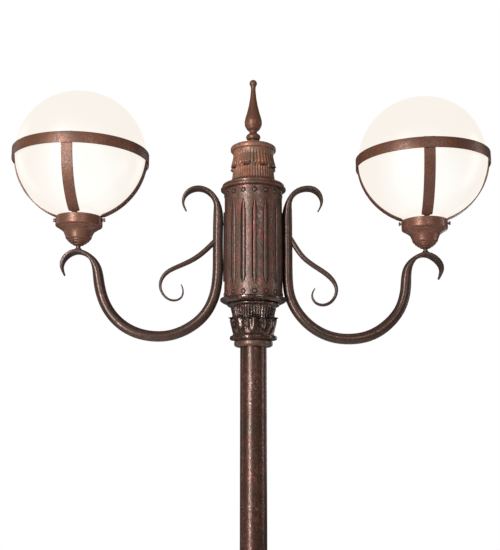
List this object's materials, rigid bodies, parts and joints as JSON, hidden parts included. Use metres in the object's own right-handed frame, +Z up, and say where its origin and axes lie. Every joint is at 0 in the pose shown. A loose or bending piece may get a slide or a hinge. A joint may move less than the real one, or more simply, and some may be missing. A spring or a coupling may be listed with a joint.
{
  "type": "street lamp",
  "caption": "Twin-arm post-top street lamp: round post, fluted drum with capitals and finial, scroll arms, and opal globes in strap cages.",
  "frame": {"origin": "centre of the base on the ground", "axes": "+Z up along the post, arms along X, hand hole towards +Y"},
  "size_m": [1.4144, 0.3976, 2.439],
  "materials": {
    "post_paint": "satin",
    "arm_paint": "satin",
    "fitter_paint": "satin",
    "cage_paint": "satin",
    "dark_steel": "matte",
    "galvanised": "matte",
    "brass_screw": "satin",
    "opal": "satin",
    "porcelain": "gloss",
    "brass": "satin",
    "bulb_glass": "gloss"
  },
  "bodies": {
    "post": {"access_door": "post_paint", "base_cover": "post_paint", "base_plate": "galvanised", "collar_screws": "dark_steel", "cover_screws": "dark_steel", "crown_cap": "post_paint", "door_screws": "dark_steel", "drum": "post_paint", "drum_floor": "post_paint", "drum_lid": "post_paint", "finial": "post_paint", "left_arm": "arm_paint", "left_bar_screws": "galvanised", "left_cage_ribs": "cage_paint", "left_cage_ring": "cage_paint", "left_fitter_cup": "fitter_paint", "left_lamp_contact": "brass", "left_lampholder": "porcelain", "left_mount_bar": "dark_steel", "left_screw_shell": "brass", "left_scroll": "arm_paint", "left_stem": "dark_steel", "left_stem_foot": "fitter_paint", "left_stem_nut": "galvanised", "lower_capital": "post_paint", "post_plug": "galvanised", "post_tube": "post_paint", "right_arm": "arm_paint", "right_bar_screws": "galvanised", "right_cage_ribs": "cage_paint", "right_cage_ring": "cage_paint", "right_fitter_cup": "fitter_paint", "right_lamp_contact": "brass", "right_lampholder": "porcelain", "right_mount_bar": "dark_steel", "right_screw_shell": "brass", "right_scroll": "arm_paint", "right_stem": "dark_steel", "right_stem_foot": "fitter_paint", "right_stem_nut": "galvanised", "slip_collar": "post_paint", "tie_nuts": "galvanised", "tie_rod": "galvanised", "upper_capital": "post_paint"},
    "left_globe": {"left_globe": "opal", "left_globe_neck": "opal"},
    "left_bulb": {"left_bulb_cap": "brass", "left_bulb_glass": "bulb_glass"},
    "left_inner_thumb_screw": {"left_inner_thumb_screw": "brass_screw"},
    "left_outer_thumb_screw": {"left_outer_thumb_screw": "brass_screw"},
    "right_globe": {"right_globe": "opal", "right_globe_neck": "opal"},
    "right_bulb": {"right_bulb_cap": "brass", "right_bulb_glass": "bulb_glass"},
    "right_inner_thumb_screw": {"right_inner_thumb_screw": "brass_screw"},
    "right_outer_thumb_screw": {"right_outer_thumb_screw": "brass_screw"}
  },
  "joints": [
    {"name": "left_globe_lift", "type": "slide", "parent": "post", "child": "left_globe", "axis": [0, 0, 1], "range_m": [0, 0.25]},
    {"name": "left_bulb_turn", "type": "hinge", "parent": "post", "child": "left_bulb", "pos_m": [-0.50843, 0, 1.96998], "axis": [0, 0, 1], "range_deg": [0, 1800]},
    {"name": "left_inner_thumb_screw_travel", "type": "slide", "parent": "post", "child": "left_inner_thumb_screw", "axis": [0.9984, -0.0558, 0], "range_m": [0, 0.008]},
    {"name": "left_outer_thumb_screw_travel", "type": "slide", "parent": "post", "child": "left_outer_thumb_screw", "axis": [-0.9984, 0.0558, 0], "range_m": [0, 0.008]},
    {"name": "right_globe_lift", "type": "slide", "parent": "post", "child": "right_globe", "axis": [0, 0, 1], "range_m": [0, 0.25]},
    {"name": "right_bulb_turn", "type": "hinge", "parent": "post", "child": "right_bulb", "pos_m": [0.50843, 0, 1.96998], "axis": [0, 0, 1], "range_deg": [0, 1800]},
    {"name": "right_inner_thumb_screw_travel", "type": "slide", "parent": "post", "child": "right_inner_thumb_screw", "axis": [-0.9907, 0.1357, 0], "range_m": [0, 0.008]},
    {"name": "right_outer_thumb_screw_travel", "type": "slide", "parent": "post", "child": "right_outer_thumb_screw", "axis": [0.9907, -0.1357, 0], "range_m": [0, 0.008]}
  ]
}
